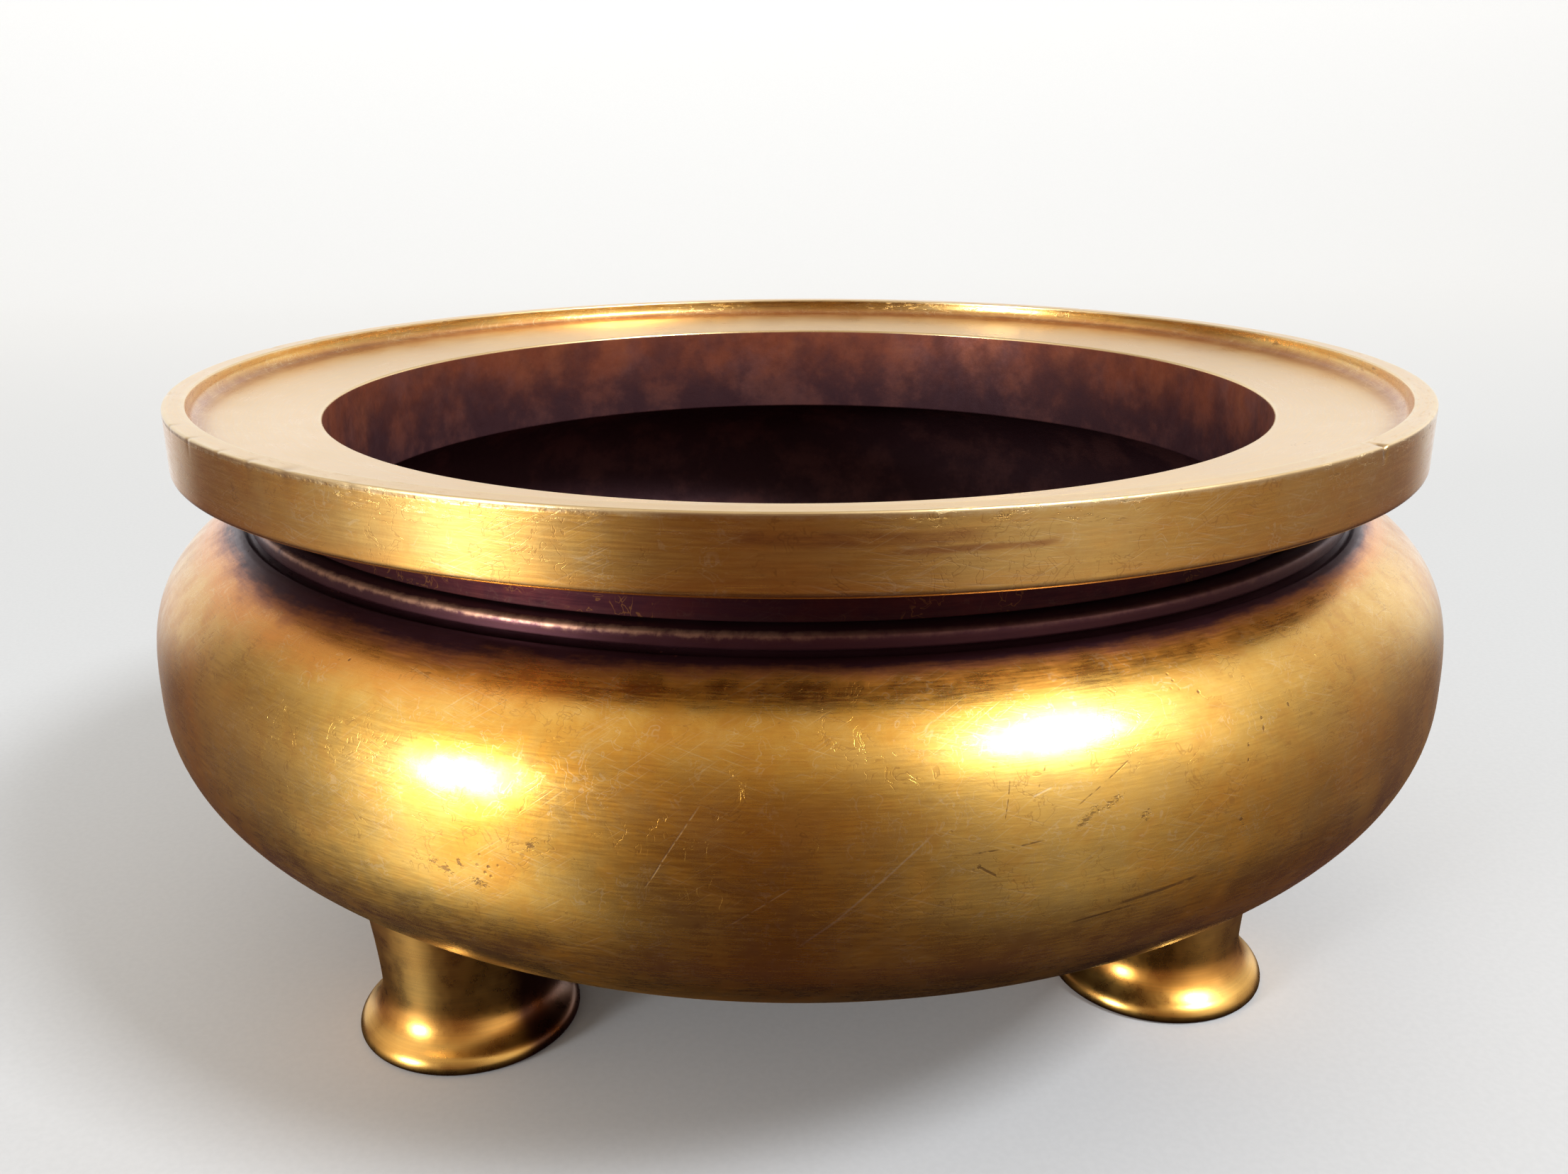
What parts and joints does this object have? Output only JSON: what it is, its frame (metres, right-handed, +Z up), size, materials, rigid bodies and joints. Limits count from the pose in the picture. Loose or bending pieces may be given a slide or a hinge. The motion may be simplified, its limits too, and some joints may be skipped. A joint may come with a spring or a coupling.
{
  "type": "tripod incense burner",
  "caption": "Squat open tripod incense burner: turned brass bowl with a ridged neck, a wide dished rim with a raised lip, and short spool feet screwed on from inside.",
  "frame": {"origin": "on the surface it stands on, under the bowl's axis", "axes": "+Z up along the bowl's axis; the rear foot is on +Y; the front feet are 60 degrees either side of -Y, with +X to the right"},
  "size_m": [0.2108, 0.2108, 0.1008],
  "materials": {
    "bowl_brass": "satin turned brass, brown patina round the neck, fine scratches and pits",
    "rim_brass": "satin turned brass, paler and more polished on the tray and lip",
    "foot_brass": "polished brass with a warmer tone and red-brown tarnish in the hollows",
    "fastener_brass": "dull tarnished brass"
  },
  "bodies": {
    "root": {"bowl": "bowl_brass", "rim": "rim_brass", "foot_front_left": "foot_brass", "foot_front_right": "foot_brass", "foot_rear": "foot_brass", "foot_washer_front_left": "fastener_brass", "foot_washer_front_right": "fastener_brass", "foot_washer_rear": "fastener_brass", "foot_screw_front_left": "fastener_brass", "foot_screw_front_right": "fastener_brass", "foot_screw_rear": "fastener_brass"}
  },
  "joints": []
}
